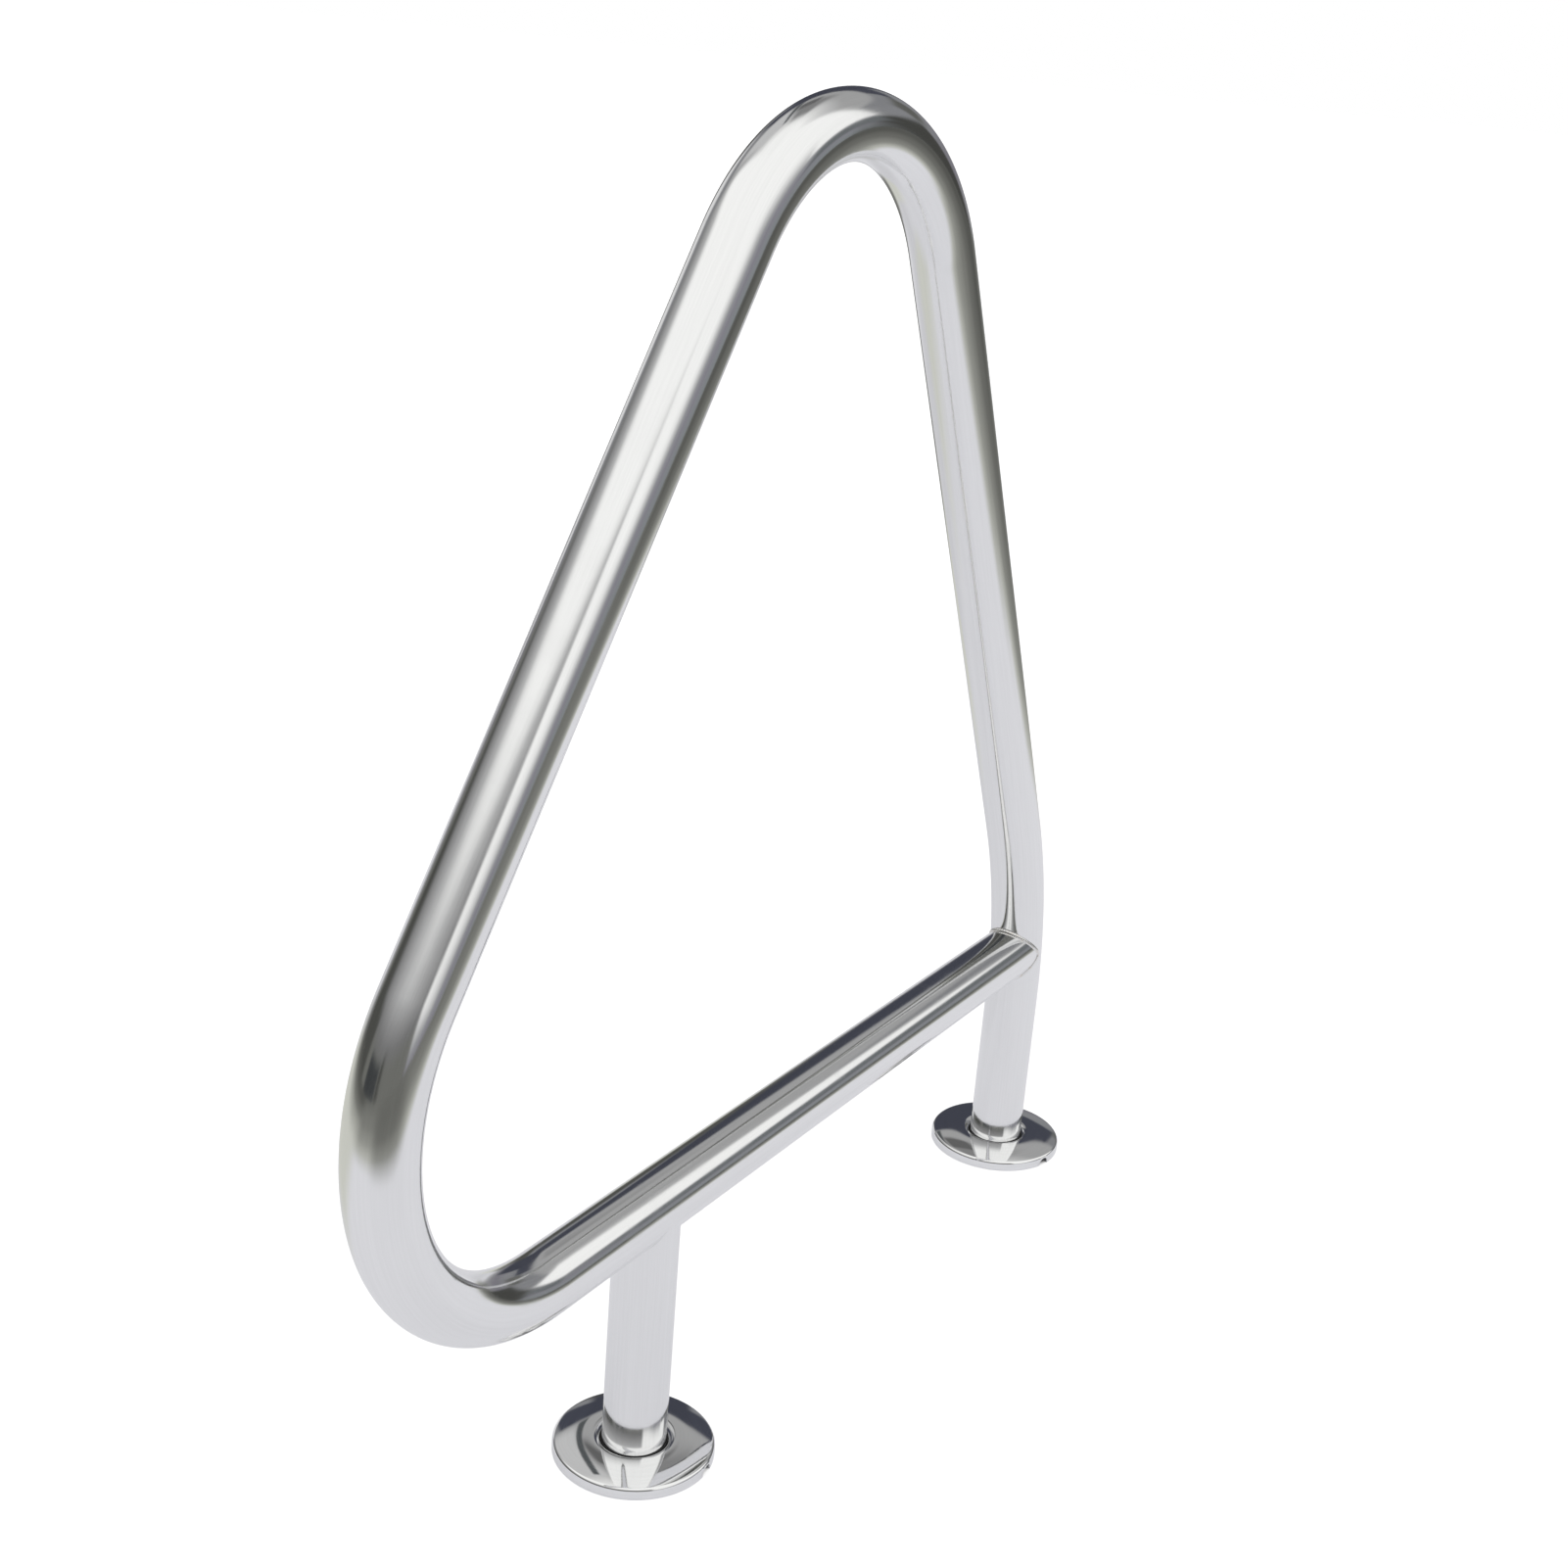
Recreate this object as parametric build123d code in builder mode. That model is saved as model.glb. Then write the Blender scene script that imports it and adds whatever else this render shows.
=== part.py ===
from build123d import *

import os
from math import atan2, cos, degrees, radians, sin, tan

# A pool handrail: one bent tube and a short front leg, standing on two bolted
# base flanges that loose round covers hide.  Millimetres and degrees.  The
# origin is the centre of the front leg on the deck, +Z is up, and +X runs
# from the front leg to the rear leg, so the nose of the rail points to -X.

# ---- Tube -----------------------------------------------------------------
tube_diameter = 48.3
tube_wall = 1.65
tube_radius = tube_diameter / 2
bore_radius = tube_radius - tube_wall

# ---- Outline of the rail, along the tube's centre line ----------------------
leg_spacing = 600.0
lower_rail_height = 205.0
top_height = 946.0
nose_reach = 286.0  # from the front leg to the far side of the nose bend
upright_lean = 25.5  # from vertical, above the kink
kink_height = 250.0  # where the leg's line meets the leaning upright's line
kink_radius = 425.0
bend_radius = 162.0  # the nose bend and the top bend
leg_end = 1.5  # the tube stops this far above the underside of its flange

# ---- Welds ------------------------------------------------------------------
root_gap = 0.5  # left open between two coped tubes and filled by the weld
bead_radius = 3.0
dressed_bead_radius = 2.2  # the front leg's bead, dressed down after welding
bead_side_crown = 1.2  # how proud a bead stands where the tubes run side by side
flange_weld_leg = 2.5

# ---- Base flanges -----------------------------------------------------------
flange_diameter = 104.0
flange_thickness = 5.0
flange_edge_chamfer = 1.0
bolt_circle = 80.0
bolt_count = 4
bolt_hole_diameter = 9.0
countersink_diameter = 16.4
countersink_angle = 90

# ---- Covers, pressed from thin sheet ----------------------------------------
cover_diameter = 121.0
cover_sheet = 1.2
cover_rim_height = 8.6  # up to the sharp corner that the shoulder rounds off
cover_top_height = 12.6  # crest of the dome, where it rolls over into the hole
cover_shoulder_radius = 3.0
cover_roll_radius = 7.0
cover_roll_angle = 60.0  # how far the sheet turns down from the crest
cover_hole_radius = 25.0
weep_width = 12.0
weep_height = 6.6
front_weep_azimuth = 278
rear_weep_azimuth = 257

# ---- Rubber grommets between a cover and its leg -----------------------------
running_gap = 0.05
grommet_lower_lip_radius = 26.8
grommet_upper_lip_radius = 25.2
grommet_lip_height = 0.6
grommet_lip_fillet = 0.15
groove_play_below = 0.1  # from the edge of the cover's hole to the lips
groove_play_above = 0.45


# ---- Corners of the centre line, in the XZ plane ------------------------------
# The nose bend and the top bend have the same radius, so the straight diagonal
# between them runs parallel to the line that joins their centres.
lean = radians(upright_lean)
nose_centre_x = bend_radius - nose_reach
nose_centre_z = lower_rail_height + bend_radius
top_centre_z = top_height - bend_radius
upright_x_there = leg_spacing - (top_centre_z - kink_height) * tan(lean)
top_centre_x = upright_x_there - bend_radius / cos(lean)
slope = atan2(top_centre_z - nose_centre_z, top_centre_x - nose_centre_x)
top_angle = radians(90) + lean - slope  # between the diagonal and the upright
top_bisector = (radians(90) + lean + slope) / 2
top_corner_offset = bend_radius / sin(top_angle / 2)

rear_foot = (leg_spacing, leg_end)
kink_corner = (leg_spacing, kink_height)
top_corner = (
    top_centre_x + top_corner_offset * cos(top_bisector),
    top_centre_z + top_corner_offset * sin(top_bisector),
)
nose_corner = (nose_centre_x - bend_radius / tan(slope / 2), lower_rail_height)

# Where the lower rail's line meets the upright's line, which has already begun
# to bend at that height.
kink_start = kink_height - kink_radius * tan(lean / 2)
joint_turn = (lower_rail_height - kink_start) / kink_radius  # sine of the turn
joint_x = leg_spacing - kink_radius * (1 - cos(joint_turn))
front_joint = (0.0, lower_rail_height)
rear_joint = (joint_x, lower_rail_height)

# ---- Corners of a cover's section ---------------------------------------------
cover_radius = cover_diameter / 2
roll_turn = radians(cover_roll_angle)
cover_crest_radius = cover_hole_radius + cover_roll_radius * sin(roll_turn)
cover_edge_height = cover_top_height - cover_roll_radius * (1 - cos(roll_turn))


def centre_line(corners, radii):
    """Straight runs through the corners, each inner corner rounded to its radius."""
    with BuildLine(Plane.XZ) as line:
        Polyline(*corners)
        for corner, radius in zip(corners[1:-1], radii):
            here = Vector(corner[0], 0, corner[1])
            fillet(line.vertices().sort_by_distance(here)[0], radius)
    return line.line


def round_section(path, outer, bore=None):
    """A disc, or a ring when a bore is given, square to the start of a path."""
    with BuildSketch(Plane(origin=path @ 0, z_dir=path % 0)) as section:
        Circle(outer)
        if bore:
            Circle(bore, mode=Mode.SUBTRACT)
    return section.sketch


def saddle_seam(joint, branch_angle, run_angle, radius):
    """Half of the seam round a branch of the same diameter as the tube it meets.

    Two equal tubes meet in two flat half ellipses, one on each side of the
    branch.  Each lies in the plane that bisects the branch and that side of the
    run.  Angles are directions in the XZ plane, in degrees from +X.  The radius
    is that of the bead that follows the seam.
    """
    half = radians(run_angle - branch_angle) / 2
    bisector = radians(run_angle + branch_angle) / 2
    crotch = Vector(cos(bisector), 0, sin(bisector))
    seam_plane = Plane(
        origin=(joint[0], 0, joint[1]), x_dir=crotch, z_dir=crotch.cross(Vector(0, 1, 0))
    )
    crotch_distance = tube_radius / abs(sin(half))
    side_distance = tube_radius + bead_side_crown - radius
    with BuildLine(seam_plane) as seam:
        EllipticalCenterArc(
            (0, 0), crotch_distance, side_distance, start_angle=-90, arc_size=180
        )
    return seam.line


def saddle_bead(joint, branch_angle, run_angles, radius):
    """The whole bead, round in section, before the tubes are cut out of it."""
    with BuildPart() as bead:
        for run_angle in run_angles:
            seam = saddle_seam(joint, branch_angle, run_angle, radius)
            sweep(sections=round_section(seam, radius), path=seam)
            with Locations(seam @ 0, seam @ 1):
                Sphere(radius)
    return bead.part


def side_plane(leg_x):
    """The XZ plane through a leg's axis, with its own X measured from that axis."""
    return Plane(origin=(leg_x, 0, 0), x_dir=(1, 0, 0), z_dir=(0, -1, 0))


def leg_axis(leg_x):
    return Axis((leg_x, 0, 0), (0, 0, 1))


def save(builder, label):
    builder.part.label = label
    export_step(builder.part, f"parts/{label}.step")


def build_flange(leg_x):
    with BuildPart() as flange:
        with BuildSketch(Plane.XY):
            with Locations((leg_x, 0)):
                Circle(flange_diameter / 2)
                Circle(tube_radius, mode=Mode.SUBTRACT)
        extrude(amount=flange_thickness)
        rim = flange.edges().filter_by(GeomType.CIRCLE).group_by(SortBy.RADIUS)[-1]
        chamfer(rim.sort_by(Axis.Z)[-1], flange_edge_chamfer)
        with Locations((leg_x, 0, flange_thickness)):
            with PolarLocations(bolt_circle / 2, bolt_count, start_angle=45):
                CounterSinkHole(
                    radius=bolt_hole_diameter / 2,
                    counter_sink_radius=countersink_diameter / 2,
                    counter_sink_angle=countersink_angle,
                )
    return flange


def build_flange_weld(leg_x):
    """A ring fillet between the top of the flange and the leg."""
    toe = (tube_radius + flange_weld_leg, flange_thickness)
    head = (tube_radius, flange_thickness + flange_weld_leg)
    with BuildPart() as weld:
        with BuildSketch(side_plane(leg_x)):
            with BuildLine():
                Line(head, (tube_radius, flange_thickness))
                Line((tube_radius, flange_thickness), toe)
                RadiusArc(toe, head, 2 * flange_weld_leg)
            make_face()
        revolve(axis=leg_axis(leg_x))
    return weld


def build_cover(leg_x, weep_azimuth):
    """A dome that runs level at its crest and rolls down into the centre hole."""
    rim_foot = (cover_radius, 0)
    rim_corner = (cover_radius, cover_rim_height)
    crest = (cover_crest_radius, cover_top_height)
    hole_edge = (cover_hole_radius, cover_edge_height)
    dome_width = cover_radius - cover_crest_radius
    dome_rise = cover_top_height - cover_rim_height
    dome_radius = (dome_width**2 + dome_rise**2) / (2 * dome_rise)
    with BuildPart() as cover:
        with BuildSketch(side_plane(leg_x)):
            with BuildLine() as skin:
                Line(rim_foot, rim_corner)
                RadiusArc(rim_corner, crest, -dome_radius)
                RadiusArc(crest, hole_edge, -cover_roll_radius)
                shoulder = skin.vertices().sort_by_distance(rim_corner)[0]
                fillet(shoulder, cover_shoulder_radius)
                offset(amount=cover_sheet, kind=Kind.INTERSECTION, side=Side.LEFT)
            make_face()
        revolve(axis=leg_axis(leg_x))
        # A round-topped weep notch in the foot of the rim lets water drain out.
        outward = Vector(cos(radians(weep_azimuth)), sin(radians(weep_azimuth)), 0)
        rim_plane = Plane(
            origin=Vector(leg_x, 0, 0) + outward * cover_radius,
            x_dir=Vector(0, 0, 1).cross(outward),
            z_dir=outward,
        )
        with BuildSketch(rim_plane):
            with Locations((0, weep_height - weep_width / 2)):
                Circle(weep_width / 2)
            with Locations((0, (weep_height - weep_width / 2) / 2)):
                Rectangle(weep_width, weep_height - weep_width / 2)
        extrude(amount=3 * cover_sheet, both=True, mode=Mode.SUBTRACT)
    return cover


def build_grommet(leg_x):
    """A ring that slides on the leg; the cover turns in the groove round it."""
    edge_underside = cover_edge_height - cover_sheet * cos(roll_turn)
    groove_bottom = edge_underside - groove_play_below
    groove_top = cover_edge_height + groove_play_above
    bottom = groove_bottom - grommet_lip_height
    top = groove_top + grommet_lip_height
    inner = tube_radius + running_gap
    groove_radius = cover_hole_radius - running_gap
    with BuildPart() as grommet:
        with BuildSketch(side_plane(leg_x)) as section:
            with BuildLine():
                Polyline(
                    (inner, bottom),
                    (grommet_lower_lip_radius, bottom),
                    (grommet_lower_lip_radius, groove_bottom),
                    (groove_radius, groove_bottom),
                    (groove_radius, groove_top),
                    (grommet_upper_lip_radius, groove_top),
                    (grommet_upper_lip_radius, top),
                    (inner, top),
                    close=True,
                )
            make_face()
            columns = section.vertices().group_by(Axis.X)
            fillet(columns[-1] + columns[-2], grommet_lip_fillet)
        revolve(axis=leg_axis(leg_x))
    return grommet


os.makedirs("parts", exist_ok=True)

rail_line = centre_line(
    [rear_foot, kink_corner, top_corner, nose_corner, front_joint],
    [kink_radius, bend_radius, bend_radius],
)
upright_line = centre_line([rear_foot, kink_corner, top_corner], [kink_radius])

# The outside of the upright, as a solid, to cope the lower rail's end and to
# trim the weld there.
with BuildPart() as upright_outside:
    sweep(sections=round_section(upright_line, tube_radius), path=upright_line)
with BuildPart() as upright_with_gap:
    sweep(sections=round_section(upright_line, tube_radius + root_gap), path=upright_line)

# The rail is one tube.  The run between the legs is made first and coped to the
# upright, and the rest of the tube then joins it over the front leg.
with BuildPart() as main_rail_tube:
    with BuildSketch(Plane.YZ):
        with Locations((0, lower_rail_height)):
            Circle(tube_radius)
            Circle(bore_radius, mode=Mode.SUBTRACT)
    extrude(amount=leg_spacing)
    add(upright_with_gap.part, mode=Mode.SUBTRACT)
    lower_run = main_rail_tube.solids().sort_by(Axis.X)[0]
    add(lower_run, mode=Mode.REPLACE)
    sweep(sections=round_section(rail_line, tube_radius, bore_radius), path=rail_line)
save(main_rail_tube, "main_rail_tube")

with BuildPart() as front_leg_tube:
    with BuildSketch(Plane.XY.offset(leg_end)):
        Circle(tube_radius)
        Circle(bore_radius, mode=Mode.SUBTRACT)
    extrude(amount=lower_rail_height - leg_end)
    with BuildSketch(Plane.YZ):
        with Locations((0, lower_rail_height)):
            Circle(tube_radius + root_gap)
    extrude(amount=tube_diameter, both=True, mode=Mode.SUBTRACT)
save(front_leg_tube, "front_leg_tube")

front_bead = saddle_bead(front_joint, 270, (180, 360), dressed_bead_radius)
with BuildPart() as front_leg_weld:
    add(front_bead)
    add(front_leg_tube.part, mode=Mode.SUBTRACT)
    with BuildSketch(Plane.YZ):
        with Locations((0, lower_rail_height)):
            Circle(tube_radius)
    extrude(amount=2 * tube_diameter, both=True, mode=Mode.SUBTRACT)
save(front_leg_weld, "front_leg_weld")

upright_direction = 90 + degrees(joint_turn)
rear_run_angles = (upright_direction, upright_direction + 180)
rear_bead = saddle_bead(rear_joint, 180, rear_run_angles, bead_radius)
with BuildPart() as lower_rail_weld:
    add(rear_bead)
    add(upright_outside.part, mode=Mode.SUBTRACT)
    add(main_rail_tube.part, mode=Mode.SUBTRACT)
save(lower_rail_weld, "lower_rail_weld")

for place, leg_x, weep_azimuth in (
    ("front", 0.0, front_weep_azimuth),
    ("rear", leg_spacing, rear_weep_azimuth),
):
    save(build_flange(leg_x), f"{place}_base_flange")
    save(build_flange_weld(leg_x), f"{place}_flange_weld")
    save(build_cover(leg_x, weep_azimuth), f"{place}_cover")
    save(build_grommet(leg_x), f"{place}_cover_grommet")
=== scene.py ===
from math import atan2, cos, hypot, pi, radians, sin, sqrt, tan

import bpy
from mathutils import Matrix, Vector


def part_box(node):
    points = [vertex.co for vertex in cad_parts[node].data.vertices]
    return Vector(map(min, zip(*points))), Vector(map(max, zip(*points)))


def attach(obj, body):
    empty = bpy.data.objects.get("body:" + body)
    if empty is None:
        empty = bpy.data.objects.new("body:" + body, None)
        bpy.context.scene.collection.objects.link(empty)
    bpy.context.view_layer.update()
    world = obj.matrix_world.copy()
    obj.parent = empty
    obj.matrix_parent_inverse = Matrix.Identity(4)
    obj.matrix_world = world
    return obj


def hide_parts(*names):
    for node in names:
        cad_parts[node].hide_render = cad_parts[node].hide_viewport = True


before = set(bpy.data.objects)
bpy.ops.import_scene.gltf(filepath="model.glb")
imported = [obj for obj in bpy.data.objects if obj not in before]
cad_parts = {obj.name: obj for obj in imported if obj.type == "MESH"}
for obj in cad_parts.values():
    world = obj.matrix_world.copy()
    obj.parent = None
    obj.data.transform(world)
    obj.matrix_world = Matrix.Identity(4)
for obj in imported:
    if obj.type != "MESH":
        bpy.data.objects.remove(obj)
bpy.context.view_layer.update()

# ---------------------------------------------------------------------------
# Sizes, in metres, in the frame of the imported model.  What a node's box tells
# is read from it; the bends are the design's own numbers.
# ---------------------------------------------------------------------------
rail_low, rail_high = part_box("main_rail_tube")
leg_low, leg_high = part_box("front_leg_tube")
front_cover_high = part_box("front_cover")[1]
rear_cover_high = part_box("rear_cover")[1]
flange_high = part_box("front_base_flange")[1]
flange_weld_low, flange_weld_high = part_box("front_flange_weld")
grommet_low, grommet_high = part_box("front_cover_grommet")

TUBE_RADIUS = (leg_high.y - leg_low.y) / 2
TUBE_WALL = 0.00165
LEG_SPACING = rear_cover_high.x - front_cover_high.x
LEG_END = leg_low.z
LOWER_RAIL_HEIGHT = 0.205
TOP_HEIGHT = rail_high.z - TUBE_RADIUS
NOSE_REACH = -rail_low.x - TUBE_RADIUS
UPRIGHT_LEAN = radians(25.5)
KINK_HEIGHT = 0.250
KINK_RADIUS = 0.425
BEND_RADIUS = 0.162
ROOT_GAP = 0.0005

COVER_RADIUS = front_cover_high.x
COVER_SHEET = 0.0012
COVER_CORNER_HEIGHT = 0.0086
COVER_TOP = front_cover_high.z
COVER_SHOULDER = 0.003
COVER_ROLL_RADIUS = 0.007  # of the edge that rolls down into the centre hole
COVER_ROLL_TURN = radians(60)
COVER_HOLE_RADIUS = 0.0250
COVER_EDGE_SOFTNESS = 0.0002  # rounding of the cut edge of the sheet
WEEP_WIDTH = 0.0120
WEEP_HEIGHT = 0.0066
WEEP_AZIMUTH = {"front": radians(278), "rear": radians(257)}
GROMMET_LOWER_LIP_RADIUS = grommet_high.x
GROMMET_UPPER_LIP_RADIUS = 0.0252
GROMMET_LIP = 0.0006
GROMMET_SOFTNESS = 0.00015  # radius of the lips' corners
RUNNING_GAP = 0.00005

# How finely the meshes are cut.
RING_SEGMENTS = 96
BORE_SEGMENTS = 48
LATHE_SEGMENTS = 192
LEG_RINGS = 60
SEAM_SAMPLE_COUNT = 72
FINE_STEP = 0.0025
ARC_STEP = 0.0035
STRAIGHT_STEP = 0.020
HEAT_REACH = 0.030  # how far heat colour spreads from a weld
REFINED_REACH = 0.060  # how far from a weld the tube has closely spaced rings


# ---------------------------------------------------------------------------
# Mesh helpers
# ---------------------------------------------------------------------------
class MeshParts:
    """Vertices, faces and per-vertex data of one piece, gathered row by row."""

    def __init__(self):
        self.points = []
        self.grain = []
        self.heat = []
        self.faces = []
        self.sharp = set()

    def row(self, points, grain, heat=None):
        """Adds one closed ring of points and returns their indices."""
        first = len(self.points)
        self.points.extend(points)
        self.grain.extend(grain)
        self.heat.extend(heat or [0.0] * len(points))
        return list(range(first, first + len(points)))

    def bridge(self, a, b):
        """Quads between two rings of equal length."""
        count = len(a)
        for i in range(count):
            j = (i + 1) % count
            self.faces.append((a[i], a[j], b[j], b[i]))

    def mark_sharp(self, ring):
        count = len(ring)
        for i in range(count):
            self.sharp.add(frozenset((ring[i], ring[(i + 1) % count])))

    def build(self, name, material, body, slot, *nodes):
        """Makes the object, smooth apart from its sharp rims, riding on its body."""
        mesh = bpy.data.meshes.new(name)
        mesh.from_pydata(self.points, [], self.faces)
        mesh.update()
        grain = mesh.attributes.new("grain", "FLOAT_VECTOR", "POINT")
        grain.data.foreach_set("vector", [c for g in self.grain for c in g])
        heat = mesh.attributes.new("heat", "FLOAT", "POINT")
        heat.data.foreach_set("value", self.heat)
        mesh.polygons.foreach_set("use_smooth", [True] * len(mesh.polygons))
        for edge in mesh.edges:
            edge.use_edge_sharp = frozenset(edge.vertices) in self.sharp
        mesh.materials.append(material)
        piece = bpy.data.objects.new(name, mesh)
        bpy.context.scene.collection.objects.link(piece)
        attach(piece, body)
        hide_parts(*nodes)
        return piece


def ring_angles(count):
    return [2 * pi * i / count for i in range(count)]


def lathe_point(leg_x, radius, height, angle):
    """A point round the axis of a leg."""
    return Vector((leg_x + radius * cos(angle), radius * sin(angle), height))


# ---------------------------------------------------------------------------
# Centre line of the rail
# ---------------------------------------------------------------------------
def centre_line_corners():
    """The corners of the rail's centre line, as (x, z), from rear foot to cope."""
    nose_centre = (BEND_RADIUS - NOSE_REACH, LOWER_RAIL_HEIGHT + BEND_RADIUS)
    top_z = TOP_HEIGHT - BEND_RADIUS
    upright_x = LEG_SPACING - (top_z - KINK_HEIGHT) * tan(UPRIGHT_LEAN)
    top_centre = (upright_x - BEND_RADIUS / cos(UPRIGHT_LEAN), top_z)
    slope = atan2(top_centre[1] - nose_centre[1], top_centre[0] - nose_centre[0])
    top_angle = pi / 2 + UPRIGHT_LEAN - slope
    bisector = (pi / 2 + UPRIGHT_LEAN + slope) / 2
    reach = BEND_RADIUS / sin(top_angle / 2)
    top_corner = (top_centre[0] + reach * cos(bisector), top_z + reach * sin(bisector))
    nose_corner = (nose_centre[0] - BEND_RADIUS / tan(slope / 2), LOWER_RAIL_HEIGHT)
    return [
        Vector((LEG_SPACING, LEG_END)),
        Vector((LEG_SPACING, KINK_HEIGHT)),
        Vector(top_corner),
        Vector(nose_corner),
        Vector((LEG_SPACING, LOWER_RAIL_HEIGHT)),
    ]


KINK_START = KINK_HEIGHT - KINK_RADIUS * tan(UPRIGHT_LEAN / 2)
KINK_CENTRE = Vector((LEG_SPACING - KINK_RADIUS, KINK_START))


def near_weld(x, z):
    """Whether a point of the centre line needs closely spaced rings."""
    on_lower_rail = abs(z - LOWER_RAIL_HEIGHT) < REFINED_REACH
    by_front = abs(x) < REFINED_REACH
    by_rear = abs(x - LEG_SPACING) < REFINED_REACH + TUBE_RADIUS
    return on_lower_rail and (by_front or by_rear)


def straight_stations(start, end):
    """Points along a straight run, closer together near the welds."""
    direction = (end - start).normalized()
    length = (end - start).length
    travelled = 0.0
    stations = []
    while travelled < length - FINE_STEP / 2:
        here = start + direction * travelled
        stations.append((here, direction))
        travelled += FINE_STEP if near_weld(*here) else STRAIGHT_STEP
    return stations


def arc_stations(start, direction, radius, turn):
    """Points round a bend; a positive turn is towards the left of the direction."""
    side = Vector((-direction.y, direction.x)) * (1 if turn > 0 else -1)
    centre = start + side * radius
    count = max(2, round(radius * abs(turn) / ARC_STEP))
    stations = []
    for i in range(count):
        rotation = Matrix.Rotation(turn * i / count, 2)
        stations.append((centre + rotation @ (start - centre), rotation @ direction))
    return stations


def rail_stations():
    """(point, direction) along the whole rail, ending where the cope begins."""
    corners = centre_line_corners()
    radii = [KINK_RADIUS, BEND_RADIUS, BEND_RADIUS]
    stations = []
    here = corners[0]
    for before, corner, after, radius in zip(corners, corners[1:], corners[2:], radii):
        arriving = (corner - before).normalized()
        leaving = (after - corner).normalized()
        turn = atan2(arriving.cross(leaving), arriving.dot(leaving))
        setback = radius * tan(abs(turn) / 2)
        start = corner - arriving * setback
        stations += straight_stations(here, start)
        stations += arc_stations(start, arriving, radius, turn)
        here = corner + leaving * setback
    cope_start = Vector((LEG_SPACING - 2 * TUBE_RADIUS, LOWER_RAIL_HEIGHT))
    stations += straight_stations(here, cope_start)
    return stations


# ---------------------------------------------------------------------------
# Seams, where one tube is coped and welded to another
# ---------------------------------------------------------------------------
def upright_face_x(y, z, distance):
    """X of the upright's surface, grown to this distance, on its -X side."""
    depth = sqrt(max(distance**2 - y**2, 0.0))
    rise = max(z - KINK_START, 0.0)
    return KINK_CENTRE.x + sqrt((KINK_RADIUS - depth) ** 2 - rise**2)


def rear_seam(angle, apex=0.0):
    """Point of the seam between the lower rail and the upright.

    The angle goes round the lower rail from +Y.  Two equal tubes meet in a V at
    each side; apex rounds it off.
    """
    y = TUBE_RADIUS * cos(angle)
    z = LOWER_RAIL_HEIGHT + TUBE_RADIUS * sin(angle)
    depth = TUBE_RADIUS * hypot(sin(angle), apex)
    rise = max(z - KINK_START, 0.0)
    x = KINK_CENTRE.x + sqrt((KINK_RADIUS - depth) ** 2 - rise**2)
    return Vector((x, y, z))


def front_seam(angle):
    """Point of the seam between the front leg and the rail over it, from +X."""
    x = TUBE_RADIUS * cos(angle)
    y = TUBE_RADIUS * sin(angle)
    z = LOWER_RAIL_HEIGHT - TUBE_RADIUS * abs(cos(angle))
    return Vector((x, y, z))


SEAM_SAMPLES = {
    "front": [front_seam(a) for a in ring_angles(SEAM_SAMPLE_COUNT)],
    "rear": [rear_seam(a) for a in ring_angles(SEAM_SAMPLE_COUNT)],
}


def heat_at(point, seam):
    """How strongly a point shows heat colour from the weld along a seam."""
    nearest = min((point - s).length for s in SEAM_SAMPLES[seam])
    return max(0.0, 1 - nearest / HEAT_REACH) ** 2


# ---------------------------------------------------------------------------
# Tubes
# ---------------------------------------------------------------------------
def rail_ring(parts, point, direction, travelled, radius, count, with_heat):
    """One ring of the rail, square to its centre line at a point (x, z)."""
    across = Vector((-direction.y, 0, direction.x))
    centre = Vector((point.x, 0, point.y))
    angles = ring_angles(count)
    points = []
    for a in angles:
        points.append(centre + (across * cos(a) + Vector((0, sin(a), 0))) * radius)
    grain = [(radius * cos(a), radius * sin(a), travelled) for a in angles]
    heat = None
    if with_heat and near_weld(*point):
        seam = "front" if point.x < LEG_SPACING / 2 else "rear"
        heat = [heat_at(p, seam) for p in points]
    return parts.row(points, grain, heat)


def coped_rail_ring(parts, travelled, radius, count):
    """The last ring of the rail, cut to the shape of the upright."""
    points = []
    grain = []
    for a in ring_angles(count):
        # On the lower rail the centre line runs along +X, so across is +Z.
        z = LOWER_RAIL_HEIGHT + radius * cos(a)
        y = radius * sin(a)
        x = upright_face_x(y, z, TUBE_RADIUS + ROOT_GAP)
        points.append(Vector((x, y, z)))
        grain.append((radius * cos(a), radius * sin(a), travelled + x))
    heat = [1.0] * count
    return parts.row(points, grain, heat)


def add_rail_skin(parts, stations, radius, count, outward, with_heat):
    """The outer or inner surface of the rail; returns its two end rings."""
    rings = []
    travelled = 0.0
    last = stations[0][0]
    for point, direction in stations:
        travelled += (point - last).length
        last = point
        ring = rail_ring(parts, point, direction, travelled, radius, count, with_heat)
        rings.append(ring)
    rings.append(coped_rail_ring(parts, travelled - last.x, radius, count))
    for a, b in zip(rings, rings[1:]):
        parts.bridge(*((b, a) if outward else (a, b)))
    return rings[0], rings[-1]


def join_rims(parts, outer, inner, facing_start):
    """A flat ring of faces between an outer rim and an inner rim of half its count."""
    parts.mark_sharp(outer)
    parts.mark_sharp(inner)
    ratio = len(outer) // len(inner)
    for i in range(len(inner)):
        j = (i + 1) % len(inner)
        outside = [outer[(i * ratio + k) % len(outer)] for k in range(ratio + 1)]
        face = outside + [inner[j], inner[i]]
        parts.faces.append(tuple(face if facing_start else reversed(face)))


def build_main_rail(material):
    parts = MeshParts()
    stations = rail_stations()
    bore = TUBE_RADIUS - TUBE_WALL
    outer = add_rail_skin(parts, stations, TUBE_RADIUS, RING_SEGMENTS, True, True)
    inner = add_rail_skin(parts, stations, bore, BORE_SEGMENTS, False, False)
    join_rims(parts, outer[0], inner[0], True)
    join_rims(parts, outer[1], inner[1], False)
    parts.build("rail_tube", material, "rail", "polished_tube", "main_rail_tube")


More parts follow.
